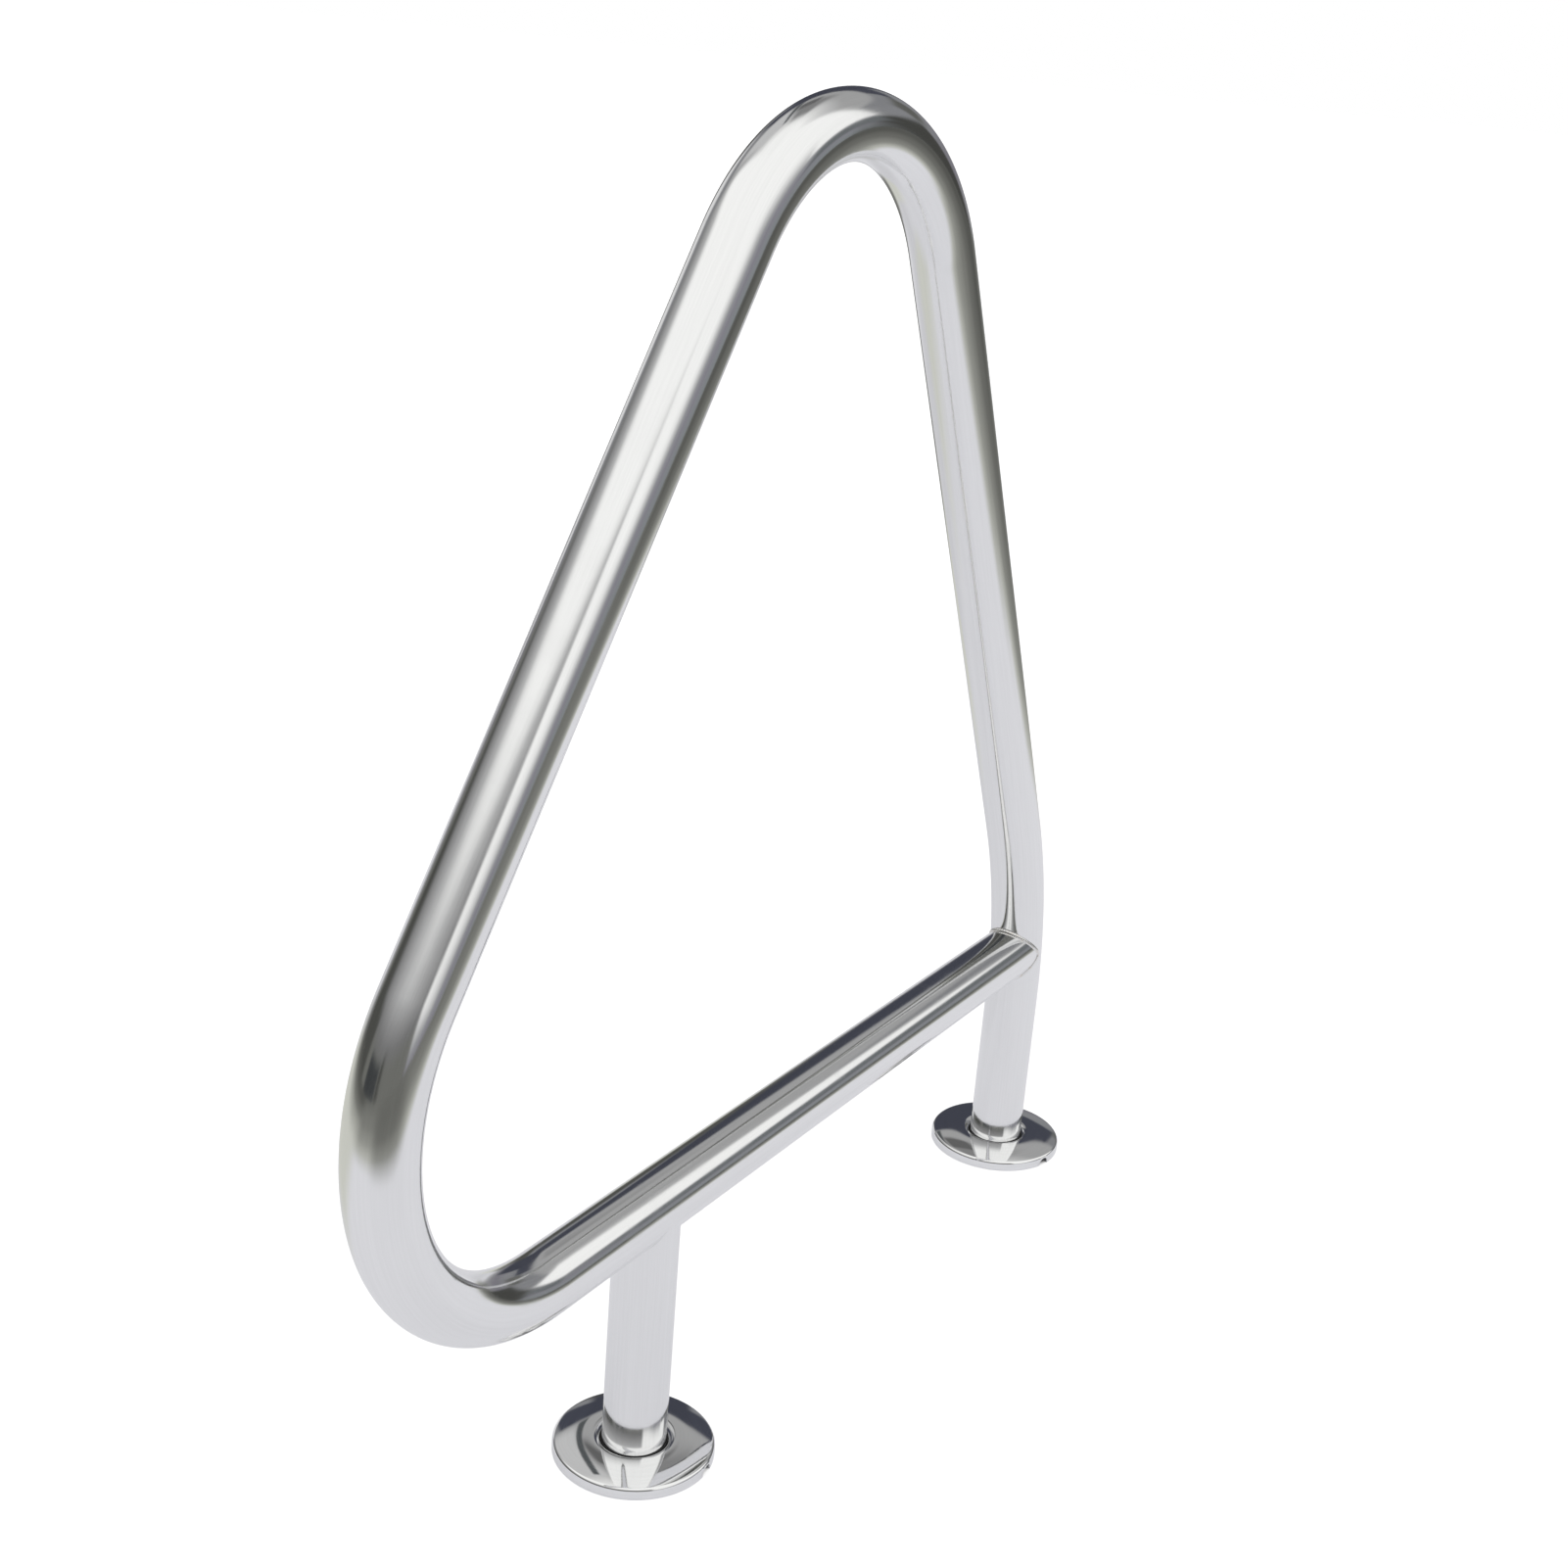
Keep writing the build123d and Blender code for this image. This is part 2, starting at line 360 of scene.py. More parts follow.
def leg_cope_height(y):
    """Height of the front leg's coped end, which leaves the root gap open."""
    return LOWER_RAIL_HEIGHT - sqrt((TUBE_RADIUS + ROOT_GAP) ** 2 - y**2)


def leg_ring(parts, height, radius, count, with_heat):
    """A ring of the front leg; with no height given, the coped one at its top."""
    points = []
    grain = []
    for a in ring_angles(count):
        x = radius * cos(a)
        y = radius * sin(a)
        z = leg_cope_height(y) if height is None else height
        points.append(Vector((x, y, z)))
        grain.append((x, y, z))
    heat = [heat_at(p, "front") for p in points] if with_heat else None
    return parts.row(points, grain, heat)


def add_leg_skin(parts, radius, count, outward, with_heat):
    """The outer or inner surface of the front leg; returns its two end rings."""
    straight_top = LOWER_RAIL_HEIGHT - TUBE_RADIUS - 2 * ROOT_GAP
    rings = []
    for i in range(LEG_RINGS):
        height = LEG_END + (straight_top - LEG_END) * i / LEG_RINGS
        rings.append(leg_ring(parts, height, radius, count, with_heat))
    rings.append(leg_ring(parts, None, radius, count, with_heat))
    for a, b in zip(rings, rings[1:]):
        parts.bridge(*((a, b) if outward else (b, a)))
    return rings[0], rings[-1]


def build_front_leg(material):
    parts = MeshParts()
    bore = TUBE_RADIUS - TUBE_WALL
    outer = add_leg_skin(parts, TUBE_RADIUS, RING_SEGMENTS, True, True)
    inner = add_leg_skin(parts, bore, BORE_SEGMENTS, False, False)
    join_rims(parts, outer[0], inner[0], False)
    join_rims(parts, outer[1], inner[1], True)
    parts.build("front_leg", material, "rail", "polished_tube", "front_leg_tube")


# ---------------------------------------------------------------------------
# Welds
# ---------------------------------------------------------------------------
RIPPLE_PITCH = 0.0021  # from one dip of the filler to the next
RIPPLE_SWEEP = 0.0007  # how far a ridge trails back at the edges of a bead
BEAD_HALF_WIDTH = 0.0026
BEAD_CROWN = 0.0024
BEAD_RIPPLE = 0.16  # height of the ridges, as a share of the crown
BEAD_STEPS = 900
BEAD_SECTION = 20
SIDE_CROWN_SHARE = 0.30  # what is left of the crown where the tubes run side by side
SIDE_WIDTH_SHARE = 0.75
SEAM_APEX = 0.10  # rounds off the V of a saddle seam
SEAM_STEP = 0.002  # angle used to find the direction of a seam

FILLET_RADIUS = 0.0026  # the dressed weld's, where the tubes meet squarely
FILLET_SIDE_SHARE = 0.05  # what is left of it at the sides
FILLET_STEPS = 9
FILLET_COLUMNS = 480
FILLET_SINK = 0.00001  # how far the fillet's foot lies inside the leg's skin
FILLET_FOOT = 0.0001  # how far it reaches down past the touching point
FILLET_GRAIN = 0.3  # its polishing lines are this much longer than the tube's

RING_COLUMNS = 720
RING_STEPS = 14
RING_SWEEP = 0.0008
RING_RIDGE = 0.00035
RING_HOLLOW = 0.00025


def ripple_phase(along, sweep):
    """Where in a ripple a point is; the sweep turns the ridges into scales."""
    return 2 * pi * (along + sweep) / RIPPLE_PITCH


def rear_normals(angle):
    """Normals of the lower rail and of the upright, at a point of their seam."""
    rail = Vector((0, cos(angle), sin(angle)))
    upright = Vector((-abs(sin(angle)), cos(angle), 0)).normalized()
    return rail, upright


def rounded_rear_seam(angle):
    return rear_seam(angle, apex=SEAM_APEX)


def bead_ring(parts, angle, travelled):
    """One ring of the lower rail's bead, square to its seam."""
    centre = rounded_rear_seam(angle)
    ahead = rounded_rear_seam(angle + SEAM_STEP) - rounded_rear_seam(angle - SEAM_STEP)
    ahead.normalize()
    first, second = rear_normals(angle)
    out = (first + second).normalized()
    out = (out - ahead * out.dot(ahead)).normalized()
    side = ahead.cross(out)
    openness = min(1.0, max(0.0, 1 - first.dot(second)))  # 0 side by side, 1 square
    height = BEAD_CROWN * (SIDE_CROWN_SHARE + (1 - SIDE_CROWN_SHARE) * openness)
    width = BEAD_HALF_WIDTH * (SIDE_WIDTH_SHARE + (1 - SIDE_WIDTH_SHARE) * openness)
    points = []
    grain = []
    for a in ring_angles(BEAD_SECTION):
        phase = ripple_phase(travelled, RIPPLE_SWEEP * sin(a) ** 2)
        lift = 1 + BEAD_RIPPLE * (0.5 + 0.5 * cos(phase)) * max(0.0, cos(a))
        offset = out * (height * lift * cos(a)) + side * (width * sin(a))
        points.append(centre + offset)
        grain.append((width * cos(a), width * sin(a), travelled))
    return parts.row(points, grain, [1.0] * len(points))


def build_lower_rail_bead(material):
    """A rippled bead swept round the seam of the lower rail and the upright.

    Where the tubes meet at an angle the bead is round in section; where they run
    side by side, at the sides, it flattens to almost nothing.
    """
    parts = MeshParts()
    rings = []
    travelled = 0.0
    last = rounded_rear_seam(0.0)
    for angle in ring_angles(BEAD_STEPS):
        centre = rounded_rear_seam(angle)
        travelled += (centre - last).length
        last = centre
        rings.append(bead_ring(parts, angle, travelled))
    for a, b in zip(rings, rings[1:] + rings[:1]):
        parts.bridge(a, b)
    parts.build("lower_rail_bead", material, "rail", "weld_metal", "lower_rail_weld")


def fillet_section(angle):
    """Closed section of the dressed fillet where the front leg meets the rail.

    In a plane across Y the leg shows as an upright line and the rail as a level
    one, so the fillet is an arc that touches both.  It shrinks to nothing at the
    sides, where the two tubes run flush.  Below it the filler closes the root gap.
    """
    outward = Vector((cos(angle), sin(angle), 0))
    size = FILLET_RADIUS * hypot(cos(angle), FILLET_SIDE_SHARE)
    y = TUBE_RADIUS * sin(angle)
    rail_z = LOWER_RAIL_HEIGHT - TUBE_RADIUS * abs(cos(angle))
    foot = min(leg_cope_height(y), rail_z - size) - FILLET_FOOT
    section = [outward * (TUBE_RADIUS - FILLET_SINK)]
    section[0].z = foot
    for i in range(FILLET_STEPS + 1):
        t = pi / 2 * i / FILLET_STEPS
        reach = TUBE_RADIUS + FILLET_RADIUS * (1 - cos(t))
        section.append(Vector((reach * cos(angle), y, rail_z - size * (1 - sin(t)))))
    into_rail = Vector((0, -sin(angle), abs(cos(angle))))
    section.append(section[-1] + into_rail * ROOT_GAP)
    root = outward * (TUBE_RADIUS - TUBE_WALL / 2)
    root.z = max(leg_cope_height(root.y), foot + 2 * FILLET_FOOT)
    section.append(root)
    return section


def build_dressed_fillet(material):
    """The front leg's weld, dressed smooth and polished with the tubes."""
    parts = MeshParts()
    rings = []
    for angle in ring_angles(FILLET_COLUMNS):
        points = fillet_section(angle)
        grain = [(p.x, p.y, p.z * FILLET_GRAIN) for p in points]
        rings.append(parts.row(points, grain, [heat_at(p, "front") for p in points]))
    for a, b in zip(rings, rings[1:] + rings[:1]):
        parts.bridge(b, a)
    for edge in (0, FILLET_STEPS + 1):
        parts.mark_sharp([ring[edge] for ring in rings])
    parts.build("front_leg_fillet", material, "rail", "weld_metal", "front_leg_weld")


def build_flange_weld(place, leg_x, material):
    """A rippled ring fillet between a leg and the top of its flange."""
    parts = MeshParts()
    leg_size = flange_weld_high.z - flange_weld_low.z
    base = flange_high.z
    rings = []
    for k in range(RING_STEPS + 1):
        share = k / RING_STEPS
        bow = sin(pi * share)
        points = []
        grain = []
        for a in ring_angles(RING_COLUMNS):
            arc = a * (TUBE_RADIUS + leg_size / 2)
            phase = ripple_phase(arc, -RING_SWEEP * bow)
            swell = RING_RIDGE * bow * (0.5 + 0.5 * cos(phase)) - RING_HOLLOW * bow
            r = TUBE_RADIUS + leg_size * (1 - share) + swell
            z = base + leg_size * share + swell
            points.append(lathe_point(leg_x, r, z, a))
            grain.append((leg_size * share, 0.0, arc))
        rings.append(parts.row(points, grain, [1.0] * RING_COLUMNS))
    points = [lathe_point(leg_x, TUBE_RADIUS, base, a) for a in ring_angles(RING_COLUMNS)]
    foot = parts.row(points, [(0.0, 0.0, 0.0)] * RING_COLUMNS)
    for a, b in zip(rings, rings[1:]):
        parts.bridge(a, b)
    parts.bridge(rings[-1], foot)
    parts.bridge(foot, rings[0])
    for ring in (rings[0], rings[-1], foot):
        parts.mark_sharp(ring)
    node = f"{place}_flange_weld"
    parts.build(f"{place}_flange_bead", material, "rail", "weld_metal", node)


# ---------------------------------------------------------------------------
# Covers and grommets
# ---------------------------------------------------------------------------
def polar(centre, radius, angle):
    return (centre[0] + radius * cos(angle), centre[1] + radius * sin(angle))


def arc_points(centre, radius, start, end, count):
    """Points of an arc as (r, z), ends included."""
    step = (end - start) / count
    return [polar(centre, radius, start + step * i) for i in range(count + 1)]


WALL_STEPS = 8
SHOULDER_STEPS = 14
DOME_STEPS = 28
ROLL_STEPS = 20
NOTCH_STEPS = 24
NOTCH_CLEARANCE = 1.15  # plain columns keep this far off, in half widths of the notch
NOTCH_EDGE = 1.0001  # the column just beside the notch, in the same measure
NOTCH_MARGIN = 0.001  # height over the notch that its squeezed rows take up
LIP_STEPS = 4
LATHE_GRAIN = 0.02  # metres of grain for each radian round a cover or a grommet


def cover_section():
    """Closed section of the cover as (r, z): outer skin, hole edge, underside.

    From the foot of the rim the outer skin goes up a straight wall, round a
    shoulder, over a dome that runs level at its crest, and rolls down into the
    centre hole.
    """
    crest_r = COVER_HOLE_RADIUS + COVER_ROLL_RADIUS * sin(COVER_ROLL_TURN)
    width = COVER_RADIUS - crest_r
    rise = COVER_TOP - COVER_CORNER_HEIGHT
    dome_radius = (width**2 + rise**2) / (2 * rise)
    dome = (crest_r, COVER_TOP - dome_radius)
    roll = (crest_r, COVER_TOP - COVER_ROLL_RADIUS)
    # The shoulder touches the rim wall and the dome from inside.
    shoulder_r = COVER_RADIUS - COVER_SHOULDER
    inner_reach = dome_radius - COVER_SHOULDER
    shoulder_z = dome[1] + sqrt(inner_reach**2 - (shoulder_r - crest_r) ** 2)
    shoulder = (shoulder_r, shoulder_z)
    touch = atan2(shoulder_z - dome[1], shoulder_r - crest_r)
    edge_turn = pi / 2 + COVER_ROLL_TURN
    skin_end = edge_turn - COVER_EDGE_SOFTNESS / COVER_ROLL_RADIUS

    def skin(depth):
        """The outer skin, or the surface this deep below it."""
        foot_r = COVER_RADIUS - depth
        roll_reach = COVER_ROLL_RADIUS - depth
        wall = [(foot_r, shoulder_z * i / WALL_STEPS) for i in range(WALL_STEPS)]
        bend = arc_points(shoulder, COVER_SHOULDER - depth, 0.0, touch, SHOULDER_STEPS)
        top = arc_points(dome, dome_radius - depth, touch, pi / 2, DOME_STEPS)[1:]
        down = arc_points(roll, roll_reach, pi / 2, skin_end, ROLL_STEPS)[1:]
        return wall + bend + top + down

    upper = polar(roll, COVER_ROLL_RADIUS - COVER_EDGE_SOFTNESS, edge_turn)
    sheet_left = COVER_SHEET - COVER_EDGE_SOFTNESS
    lower = polar(roll, COVER_ROLL_RADIUS - sheet_left, edge_turn)
    return skin(0.0) + [upper, lower] + list(reversed(skin(COVER_SHEET)))


def weep_edge(distance):
    """Height of the rim's foot at this distance along it from the weep notch."""
    half = WEEP_WIDTH / 2
    if abs(distance) >= half:
        return 0.0
    return WEEP_HEIGHT - half + sqrt(half**2 - distance**2)


def angles_from_weep():
    """Angles round a cover from its weep notch, closer together across it."""
    notch = WEEP_WIDTH / 2 / COVER_RADIUS
    clear = notch * NOTCH_CLEARANCE
    edge = notch * NOTCH_EDGE
    outside = [a for a in ring_angles(LATHE_SEGMENTS) if clear < a < 2 * pi - clear]
    inside = [-notch * cos(pi * i / NOTCH_STEPS) for i in range(NOTCH_STEPS + 1)]
    return [-edge] + inside + [edge] + outside


def over_weep(r, z, angle):
    """Height of a point of the cover once the weep notch is cut.

    Rows of the rim wall close up over the notch instead of crossing it.
    """
    span = WEEP_HEIGHT + NOTCH_MARGIN
    if r <= COVER_RADIUS - 2 * COVER_SHEET or z >= span:
        return z
    foot = weep_edge(angle * COVER_RADIUS)
    return foot + z * (span - foot) / span


def build_cover(place, leg_x, material):
    """A pressed cover: outer and inner skin, hole rim and weep notch."""
    parts = MeshParts()
    rings = []
    for r, z in cover_section():
        points = []
        grain = []
        for from_weep in angles_from_weep():
            a = WEEP_AZIMUTH[place] + from_weep
            points.append(lathe_point(leg_x, r, over_weep(r, z, from_weep), a))
            grain.append((r, a * LATHE_GRAIN, z))
        rings.append(parts.row(points, grain))
    for a, b in zip(rings, rings[1:] + rings[:1]):
        parts.bridge(a, b)
    parts.mark_sharp(rings[0])
    parts.mark_sharp(rings[-1])
    body = f"{place}_cover"
    parts.build(f"{place}_escutcheon", material, body, "polished_cover", body)


def grommet_section():
    """Closed section of a grommet as (r, z): two soft lips with a groove between."""
    low = grommet_low.z
    high = grommet_high.z
    soft = GROMMET_SOFTNESS
    inner = TUBE_RADIUS + RUNNING_GAP
    groove = COVER_HOLE_RADIUS - RUNNING_GAP

    def lip(radius, bottom):
        lower = (radius - soft, bottom + soft)
        upper = (radius - soft, bottom + GROMMET_LIP - soft)
        below = arc_points(lower, soft, -pi / 2, 0.0, LIP_STEPS)
        return below + arc_points(upper, soft, 0.0, pi / 2, LIP_STEPS)

    section = [(inner, low + soft), (inner + soft, low)]
    section += lip(GROMMET_LOWER_LIP_RADIUS, low)
    section += [(groove, low + GROMMET_LIP), (groove, high - GROMMET_LIP)]
    section += lip(GROMMET_UPPER_LIP_RADIUS, high - GROMMET_LIP)
    return section + [(inner + soft, high), (inner, high - soft)]


def build_grommet(place, leg_x, material):
    """A rubber ring with a groove for the edge of the cover's hole."""
    parts = MeshParts()
    rings = []
    for r, z in grommet_section():
        points = []
        grain = []
        for a in ring_angles(LATHE_SEGMENTS):
            points.append(lathe_point(leg_x, r, z, a))
            grain.append((r, a * LATHE_GRAIN, z))
        rings.append(parts.row(points, grain))
    for a, b in zip(rings, rings[1:] + rings[:1]):
        parts.bridge(a, b)
    name = f"{place}_rubber_grommet"
    node = f"{place}_cover_grommet"
    parts.build(name, material, f"{place}_grommet", "black_rubber", node)


# ---------------------------------------------------------------------------
# Node helpers
# ---------------------------------------------------------------------------
def add_node(tree, kind, settings=None, **sockets):
    """A shader node; sockets take a value or another node's output socket."""
    made = tree.nodes.new("ShaderNode" + kind)
    for key, value in (settings or {}).items():
        setattr(made, key, value)
    for key, value in sockets.items():
        index = int(key[1:]) if key[1:].isdigit() else key.replace("_", " ")
        if isinstance(value, bpy.types.NodeSocket):
            tree.links.new(value, made.inputs[index])
        else:
            made.inputs[index].default_value = value
    return made


def math_node(tree, operation, first, second=0.0):
    made = add_node(tree, "Math", {"operation": operation}, i0=first, i1=second)
    return made.outputs[0]


def ramp_between(tree, value, start, end, low=0.0, high=1.0):
    """Smoothly maps a value from start..end to low..high."""
    made = add_node(
        tree, "MapRange", {"interpolation_type": "SMOOTHSTEP"}, Value=value,
        From_Min=start, From_Max=end, To_Min=low, To_Max=high,
    )
    return made.outputs[0]


def mix_colour(tree, share, first, second):
    made = add_node(tree, "Mix", {"data_type": "RGBA"}, i0=share, i6=first, i7=second)
    return made.outputs[2]


def grey(value, tint=(1.0, 1.0, 1.0)):
    return (value * tint[0], value * tint[1], value * tint[2], 1.0)


def noise(tree, vector, scale, detail=3.0, roughness=0.55):
    made = add_node(
        tree, "TexNoise", {"noise_dimensions": "3D"}, Vector=vector, Scale=scale,
        Detail=detail, Roughness=roughness,
    )
    return made.outputs["Fac"]


def stretched(tree, vector, factors):
    made = add_node(tree, "VectorMath", {"operation": "MULTIPLY"}, i0=vector, i1=factors)
    return made.outputs[0]


def new_material(name):
    material = bpy.data.materials.new(name)
    material.use_nodes = True
    tree = material.node_tree
    tree.nodes.clear()
    shader = add_node(tree, "BsdfPrincipled")
    output = add_node(tree, "OutputMaterial", Surface=shader.outputs[0])
    output.location = (300, 0)
    return material, tree, shader


def grain_of(tree):
    return add_node(tree, "Attribute", {"attribute_name": "grain"}).outputs["Vector"]


def heat_of(tree):
    return add_node(tree, "Attribute", {"attribute_name": "heat"}).outputs["Fac"]


# ---------------------------------------------------------------------------
# Materials
# ---------------------------------------------------------------------------
ALONG_TUBE = (1.0, 1.0, 0.012)
ROUND_COVER = (1.0, 0.05, 1.0)
POLISH_GREY = 0.92
STRAW = (0.80, 0.66, 0.50)  # the tint of heated steel
STAINED = (1.0, 0.97, 0.93)


def polish_roughness(tree, grain, lines, smudges, clouds):
    """What smudges, polishing lines and dried drops add to the roughness."""
    spots = add_node(tree, "TexVoronoi", {}, Vector=grain, Scale=120.0).outputs[0]
    smudged = ramp_between(tree, smudges, 0.50, 0.72, 0.0, 0.05)
    streaked = ramp_between(tree, lines, 0.35, 0.75, 0.0, 0.035)
    dried = ramp_between(tree, spots, 0.10, 0.16, 0.03, 0.0)
    dried = math_node(tree, "MULTIPLY", dried, ramp_between(tree, clouds, 0.5, 0.7))
    added = math_node(tree, "ADD", smudged, streaked)
    return math_node(tree, "ADD", added, dried)


def polish_colour(tree, lines, smudges, clouds, heat_strength):
    """Steel, a little uneven, turning to straw beside the welds."""
    tone = ramp_between(tree, lines, 0.3, 0.7, 0.965, 1.0)
    cloudy = grey(POLISH_GREY * 0.985, (0.995, 1.0, 1.005))
    steel = mix_colour(tree, clouds, cloudy, grey(POLISH_GREY))
    steel = add_node(
        tree, "Mix", {"data_type": "RGBA", "blend_type": "MULTIPLY"}, i0=1.0, i6=steel,
        i7=tone,
    ).outputs[2]
    heat = math_node(tree, "MULTIPLY", heat_of(tree), heat_strength)
    mottled = math_node(tree, "MULTIPLY", heat, ramp_between(tree, smudges, 0.3, 0.7))
    return mix_colour(tree, mottled, steel, grey(POLISH_GREY, STRAW))


def polished_steel(name, along, base_roughness, heat_strength):
    """Mirror-polished stainless steel.

    Along is the stretch that turns noise into polishing lines: small along the
    lines, 1 across them.  Heat is the colour left beside welds.
    """
    material, tree, shader = new_material(name)
    grain = grain_of(tree)
    lines = noise(tree, stretched(tree, grain, along), 900.0, 4.0, 0.6)
    scratches = noise(tree, stretched(tree, grain, along), 5200.0, 2.0, 0.5)
    smudges = noise(tree, grain, 26.0, 5.0, 0.6)
    clouds = noise(tree, grain, 7.0, 2.0, 0.5)

    colour = polish_colour(tree, lines, smudges, clouds, heat_strength)
    tree.links.new(colour, shader.inputs["Base Color"])
    shader.inputs["Metallic"].default_value = 1.0
    roughness = polish_roughness(tree, grain, lines, smudges, clouds)
    roughness = math_node(tree, "ADD", roughness, base_roughness)
    tree.links.new(roughness, shader.inputs["Roughness"])

    height = math_node(tree, "MULTIPLY", scratches, 0.35)
    height = math_node(tree, "ADD", height, lines)
    bump = add_node(tree, "Bump", {}, Strength=0.10, Distance=0.00002, Height=height)
    tree.links.new(bump.outputs[0], shader.inputs["Normal"])
    return material


def weld_steel(name, roughness, ripple_strength):
    """Weld metal: duller than the tubes, with fine solidification lines and tint."""
    material, tree, shader = new_material(name)
    grain = grain_of(tree)
    mottle = noise(tree, grain, 420.0, 4.0, 0.6)
    pits = noise(tree, grain, 2400.0, 3.0, 0.6)
    tint = ramp_between(tree, mottle, 0.40, 0.75)
    colour = mix_colour(tree, tint, grey(0.84), grey(0.74, (1.0, 0.93, 0.84)))
    tree.links.new(colour, shader.inputs["Base Color"])
    shader.inputs["Metallic"].default_value = 1.0
    rough = ramp_between(tree, mottle, 0.3, 0.7, roughness * 0.8, roughness * 1.3)
    tree.links.new(rough, shader.inputs["Roughness"])
    bump = add_node(
        tree, "Bump", {}, Strength=ripple_strength, Distance=0.0002, Height=pits
    )
    tree.links.new(bump.outputs[0], shader.inputs["Normal"])
    return material


def turned_plate(name, leg_x):
    """Satin stainless plate with the fine rings that turning leaves."""
    material, tree, shader = new_material(name)
    place = add_node(tree, "TexCoord").outputs["Object"]
    centred = add_node(
        tree, "VectorMath", {"operation": "SUBTRACT"}, i0=place, i1=(leg_x, 0, 0)
    ).outputs[0]
    flat = stretched(tree, centred, (1, 1, 0))
    radius = add_node(tree, "VectorMath", {"operation": "LENGTH"}, i0=flat).outputs["Value"]
    rings = noise(
        tree, add_node(tree, "CombineXYZ", X=radius).outputs[0], 2600.0, 3.0, 0.6
    )
    stains = noise(tree, centred, 60.0, 5.0, 0.6)
    colour = mix_colour(
        tree, ramp_between(tree, stains, 0.45, 0.75), grey(0.62), grey(0.50, STAINED)
    )
    tree.links.new(colour, shader.inputs["Base Color"])
    shader.inputs["Metallic"].default_value = 1.0
    rough = ramp_between(tree, rings, 0.3, 0.7, 0.26, 0.42)
    tree.links.new(rough, shader.inputs["Roughness"])
    bump = add_node(tree, "Bump", {}, Strength=0.35, Distance=0.00005, Height=rings)
    tree.links.new(bump.outputs[0], shader.inputs["Normal"])
    return material


def black_rubber():
    """Moulded rubber: near black, with a fine matt texture and a little dust."""
    material, tree, shader = new_material("black_rubber")
    grain = grain_of(tree)
    fine = noise(tree, grain, 3000.0, 3.0, 0.6)
    dust = ramp_between(tree, noise(tree, grain, 300.0, 4.0), 0.55, 0.8)
    colour = mix_colour(tree, dust, grey(0.016), grey(0.045, (1.0, 0.98, 0.95)))
    tree.links.new(colour, shader.inputs["Base Color"])
    shader.inputs["Roughness"].default_value = 0.55
    shader.inputs["Specular IOR Level"].default_value = 0.35
    bump = add_node(tree, "Bump", {}, Strength=0.4, Distance=0.00005, Height=fine)
    tree.links.new(bump.outputs[0], shader.inputs["Normal"])
    return material


# ---------------------------------------------------------------------------
# Studio: what the polished steel reflects, the floor, the light and the camera
# ---------------------------------------------------------------------------
def linear(display):
    """Linear value of a display grey, 0 to 1."""
    return display / 12.92 if display <= 0.04045 else ((display + 0.055) / 1.055) ** 2.4


def elevation_ramp(tree, elevation, stops):
    """Colour by elevation; each stop is (degrees, display grey, tint)."""
    position = math_node(tree, "DIVIDE", elevation, 180.0)
    position = math_node(tree, "ADD", position, 0.5)
    made = add_node(tree, "ValToRGB", {}, Fac=position)
    ramp = made.color_ramp
    while len(ramp.elements) < len(stops):
        ramp.elements.new(0.5)
    for element, (degrees_up, display, tint) in zip(ramp.elements, stops):
        element.position = (degrees_up + 90) / 180
        element.color = grey(linear(display), tint)
    return made.outputs["Color"]


NEUTRAL = (1.0, 1.0, 1.0)
WARM = (1.0, 1.0, 0.985)
COOL = (0.97, 0.985, 1.03)
LAVENDER = (0.985, 0.985, 1.03)
TEAL = (0.93, 1.0, 1.04)
VIOLET = (0.97, 0.94, 1.07)
OLIVE = (1.0, 1.01, 0.93)
NAVY = (0.93, 0.99, 1.30)

STEEL_LOSS = 1.07  # light the steel swallows, given back by the studio
# Studio brightness by elevation, as (degrees, display grey, tint).
STUDIO_AROUND = [
    (-6, 0.46, OLIVE), (0, 0.42, OLIVE), (10, 0.42, OLIVE), (18, 0.45, NEUTRAL),
    (26, 0.55, NEUTRAL), (33, 0.64, NEUTRAL), (37, 0.71, NEUTRAL), (41, 0.88, WARM),
    (45, 0.96, WARM),
]
BEHIND_OBJECT = [
    (-4, 0.60, NEUTRAL), (4, 0.47, VIOLET), (12, 0.52, COOL), (30, 0.50, COOL),
    (33, 0.62, NEUTRAL), (46, 0.62, NEUTRAL), (52, 0.71, NEUTRAL), (60, 0.82, WARM),
    (70, 0.95, WARM),
]
# The same for the softbox at the side, by degrees above its lower edge.
SIDE_SOFTBOX = [
    (-18, 0.52, TEAL), (-9, 0.52, VIOLET), (-4, 0.58, COOL), (0, 0.70, NEUTRAL),
    (4, 0.80, NEUTRAL), (10, 0.91, WARM), (17, 0.96, WARM),
]
